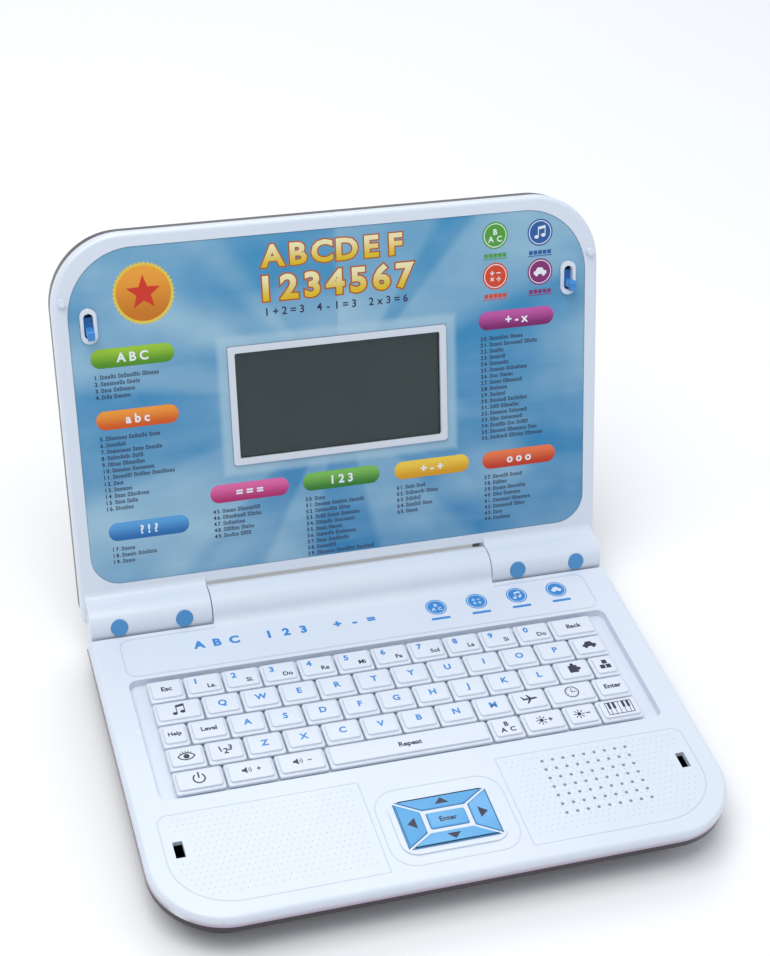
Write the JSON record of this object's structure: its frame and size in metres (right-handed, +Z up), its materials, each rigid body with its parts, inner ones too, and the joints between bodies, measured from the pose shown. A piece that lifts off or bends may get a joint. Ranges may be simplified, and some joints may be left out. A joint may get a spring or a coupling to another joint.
{
  "type": "toy laptop computer",
  "caption": "Toy learning laptop with a hinged lid, small screen, printed panel, spring latches, working keys and a direction pad.",
  "frame": {"origin": "middle of the footprint with the lid open at its rest angle, on the plane under the feet", "axes": "+X to the user's right, +Y from the front edge towards the hinge, +Z up"},
  "size_m": [0.26, 0.2618, 0.1901],
  "materials": {
    "white_abs": "moulded, glossy",
    "plum_abs": "moulded, glossy",
    "white_key_abs": "moulded, soft gloss",
    "light_blue_abs": "moulded, soft gloss",
    "cap_blue_abs": "moulded",
    "battery_sleeve": "printed sleeve",
    "spring_steel": "nickel plated",
    "foot_rubber": "matt",
    "screw_steel": "zinc plated",
    "circuit_board": "solder mask",
    "silicone_sheet": "matt",
    "speaker_frame": "black paint",
    "hinge_steel": "bright drawn",
    "cable_sleeve": "matt",
    "printed_sheet": "printed film, satin",
    "bezel_abs": "moulded",
    "clear_acrylic": "clear",
    "lcd_glass": "reflective display"
  },
  "bodies": {
    "base": {"base_top_shell": "white_abs", "base_bottom_shell": "plum_abs", "battery_door": "plum_abs", "batteries": "battery_sleeve", "battery_contacts": "spring_steel", "feet": "foot_rubber", "base_screws": "screw_steel", "main_board": "circuit_board", "dome_sheet": "silicone_sheet", "pad_dome_sheet": "silicone_sheet", "speaker": "speaker_frame", "speaker_clamp": "plum_abs", "hinge_pin_left": "hinge_steel", "hinge_tube_right": "hinge_steel", "cable_base": "cable_sleeve"},
    "lid": {"lid_front_shell": "white_abs", "lid_back_shell": "plum_abs", "overlay_panel": "printed_sheet", "lcd_bezel": "bezel_abs", "lcd_window": "clear_acrylic", "lcd_module": "lcd_glass", "lcd_board": "circuit_board", "hinge_caps": "cap_blue_abs", "lid_bumpers": "white_abs", "lid_screws": "screw_steel", "cable_lid": "cable_sleeve", "latch_spring_left": "spring_steel", "latch_spring_right": "spring_steel"},
    "latch_left": {"latch_hook_left": "light_blue_abs"},
    "latch_right": {"latch_hook_right": "light_blue_abs"},
    "number_keys_body": {"number_keys": "white_key_abs"},
    "top_row_letter_keys_body": {"top_row_letter_keys": "white_key_abs"},
    "home_row_letter_keys_body": {"home_row_letter_keys": "white_key_abs"},
    "bottom_row_letter_keys_body": {"bottom_row_letter_keys": "white_key_abs"},
    "esc_key_body": {"esc_key": "white_key_abs"},
    "back_key_body": {"back_key": "white_key_abs"},
    "music_key_body": {"music_key": "white_key_abs"},
    "car_key_body": {"car_key": "white_key_abs"},
    "help_key_body": {"help_key": "white_key_abs"},
    "level_key_body": {"level_key": "white_key_abs"},
    "puzzle_key_body": {"puzzle_key": "white_key_abs"},
    "blocks_key_body": {"blocks_key": "white_key_abs"},
    "eye_key_body": {"eye_key": "white_key_abs"},
    "count_key_body": {"count_key": "white_key_abs"},
    "plane_key_body": {"plane_key": "white_key_abs"},
    "clock_key_body": {"clock_key": "white_key_abs"},
    "enter_key_body": {"enter_key": "white_key_abs"},
    "power_key_body": {"power_key": "white_key_abs"},
    "volume_up_key_body": {"volume_up_key": "white_key_abs"},
    "volume_down_key_body": {"volume_down_key": "white_key_abs"},
    "repeat_key_body": {"repeat_key": "white_key_abs"},
    "spell_key_body": {"spell_key": "white_key_abs"},
    "bright_up_key_body": {"bright_up_key": "white_key_abs"},
    "bright_down_key_body": {"bright_down_key": "white_key_abs"},
    "piano_key_body": {"piano_key": "white_key_abs"},
    "pad_up_body": {"pad_up": "light_blue_abs"},
    "pad_down_body": {"pad_down": "light_blue_abs"},
    "pad_left_body": {"pad_left": "light_blue_abs"},
    "pad_right_body": {"pad_right": "light_blue_abs"},
    "pad_enter_body": {"pad_enter": "light_blue_abs"}
  },
  "joints": [
    {"name": "lid_hinge", "type": "hinge", "parent": "base", "child": "lid", "pos_m": [0, 0.04814, 0.025], "axis": [1, 0, 0], "range_deg": [-18, 112]},
    {"name": "latch_left_slide", "type": "slide", "parent": "lid", "child": "latch_left", "axis": [0, 0.3746, 0.9272], "range_m": [0, 0.0028], "stiffness_N_per_m": 400, "springref_m": -0.002, "deforming": ["latch_spring_left"]},
    {"name": "latch_right_slide", "type": "slide", "parent": "lid", "child": "latch_right", "axis": [0, 0.3746, 0.9272], "range_m": [0, 0.0028], "stiffness_N_per_m": 400, "springref_m": -0.002, "deforming": ["latch_spring_right"]},
    {"name": "number_keys_press", "type": "slide", "parent": "base", "child": "number_keys_body", "axis": [0, 0, -1], "range_m": [0, 0.0018], "stiffness_N_per_m": 1500, "springref_m": -0.001},
    {"name": "top_row_letter_keys_press", "type": "slide", "parent": "base", "child": "top_row_letter_keys_body", "axis": [0, 0, -1], "range_m": [0, 0.0018], "stiffness_N_per_m": 1500, "springref_m": -0.001},
    {"name": "home_row_letter_keys_press", "type": "slide", "parent": "base", "child": "home_row_letter_keys_body", "axis": [0, 0, -1], "range_m": [0, 0.0018], "stiffness_N_per_m": 1500, "springref_m": -0.001},
    {"name": "bottom_row_letter_keys_press", "type": "slide", "parent": "base", "child": "bottom_row_letter_keys_body", "axis": [0, 0, -1], "range_m": [0, 0.0018], "stiffness_N_per_m": 1500, "springref_m": -0.001},
    {"name": "esc_key_press", "type": "slide", "parent": "base", "child": "esc_key_body", "axis": [0, 0, -1], "range_m": [0, 0.0018], "stiffness_N_per_m": 250, "springref_m": -0.001},
    {"name": "back_key_press", "type": "slide", "parent": "base", "child": "back_key_body", "axis": [0, 0, -1], "range_m": [0, 0.0018], "stiffness_N_per_m": 250, "springref_m": -0.001},
    {"name": "music_key_press", "type": "slide", "parent": "base", "child": "music_key_body", "axis": [0, 0, -1], "range_m": [0, 0.0018], "stiffness_N_per_m": 250, "springref_m": -0.001},
    {"name": "car_key_press", "type": "slide", "parent": "base", "child": "car_key_body", "axis": [0, 0, -1], "range_m": [0, 0.0018], "stiffness_N_per_m": 250, "springref_m": -0.001},
    {"name": "help_key_press", "type": "slide", "parent": "base", "child": "help_key_body", "axis": [0, 0, -1], "range_m": [0, 0.0018], "stiffness_N_per_m": 250, "springref_m": -0.001},
    {"name": "level_key_press", "type": "slide", "parent": "base", "child": "level_key_body", "axis": [0, 0, -1], "range_m": [0, 0.0018], "stiffness_N_per_m": 250, "springref_m": -0.001},
    {"name": "puzzle_key_press", "type": "slide", "parent": "base", "child": "puzzle_key_body", "axis": [0, 0, -1], "range_m": [0, 0.0018], "stiffness_N_per_m": 250, "springref_m": -0.001},
    {"name": "blocks_key_press", "type": "slide", "parent": "base", "child": "blocks_key_body", "axis": [0, 0, -1], "range_m": [0, 0.0018], "stiffness_N_per_m": 250, "springref_m": -0.001},
    {"name": "eye_key_press", "type": "slide", "parent": "base", "child": "eye_key_body", "axis": [0, 0, -1], "range_m": [0, 0.0018], "stiffness_N_per_m": 250, "springref_m": -0.001},
    {"name": "count_key_press", "type": "slide", "parent": "base", "child": "count_key_body", "axis": [0, 0, -1], "range_m": [0, 0.0018], "stiffness_N_per_m": 250, "springref_m": -0.001},
    {"name": "plane_key_press", "type": "slide", "parent": "base", "child": "plane_key_body", "axis": [0, 0, -1], "range_m": [0, 0.0018], "stiffness_N_per_m": 250, "springref_m": -0.001},
    {"name": "clock_key_press", "type": "slide", "parent": "base", "child": "clock_key_body", "axis": [0, 0, -1], "range_m": [0, 0.0018], "stiffness_N_per_m": 250, "springref_m": -0.001},
    {"name": "enter_key_press", "type": "slide", "parent": "base", "child": "enter_key_body", "axis": [0, 0, -1], "range_m": [0, 0.0018], "stiffness_N_per_m": 250, "springref_m": -0.001},
    {"name": "power_key_press", "type": "slide", "parent": "base", "child": "power_key_body", "axis": [0, 0, -1], "range_m": [0, 0.0018], "stiffness_N_per_m": 250, "springref_m": -0.001},
    {"name": "volume_up_key_press", "type": "slide", "parent": "base", "child": "volume_up_key_body", "axis": [0, 0, -1], "range_m": [0, 0.0018], "stiffness_N_per_m": 250, "springref_m": -0.001},
    {"name": "volume_down_key_press", "type": "slide", "parent": "base", "child": "volume_down_key_body", "axis": [0, 0, -1], "range_m": [0, 0.0018], "stiffness_N_per_m": 250, "springref_m": -0.001},
    {"name": "repeat_key_press", "type": "slide", "parent": "base", "child": "repeat_key_body", "axis": [0, 0, -1], "range_m": [0, 0.0018], "stiffness_N_per_m": 250, "springref_m": -0.001},
    {"name": "spell_key_press", "type": "slide", "parent": "base", "child": "spell_key_body", "axis": [0, 0, -1], "range_m": [0, 0.0018], "stiffness_N_per_m": 250, "springref_m": -0.001},
    {"name": "bright_up_key_press", "type": "slide", "parent": "base", "child": "bright_up_key_body", "axis": [0, 0, -1], "range_m": [0, 0.0018], "stiffness_N_per_m": 250, "springref_m": -0.001},
    {"name": "bright_down_key_press", "type": "slide", "parent": "base", "child": "bright_down_key_body", "axis": [0, 0, -1], "range_m": [0, 0.0018], "stiffness_N_per_m": 250, "springref_m": -0.001},
    {"name": "piano_key_press", "type": "slide", "parent": "base", "child": "piano_key_body", "axis": [0, 0, -1], "range_m": [0, 0.0018], "stiffness_N_per_m": 250, "springref_m": -0.001},
    {"name": "pad_up_press", "type": "slide", "parent": "base", "child": "pad_up_body", "axis": [0, 0, -1], "range_m": [0, 0.001], "stiffness_N_per_m": 300, "springref_m": -0.001},
    {"name": "pad_down_press", "type": "slide", "parent": "base", "child": "pad_down_body", "axis": [0, 0, -1], "range_m": [0, 0.001], "stiffness_N_per_m": 300, "springref_m": -0.001},
    {"name": "pad_left_press", "type": "slide", "parent": "base", "child": "pad_left_body", "axis": [0, 0, -1], "range_m": [0, 0.001], "stiffness_N_per_m": 300, "springref_m": -0.001},
    {"name": "pad_right_press", "type": "slide", "parent": "base", "child": "pad_right_body", "axis": [0, 0, -1], "range_m": [0, 0.001], "stiffness_N_per_m": 300, "springref_m": -0.001},
    {"name": "pad_enter_press", "type": "slide", "parent": "base", "child": "pad_enter_body", "axis": [0, 0, -1], "range_m": [0, 0.001], "stiffness_N_per_m": 300, "springref_m": -0.001}
  ]
}
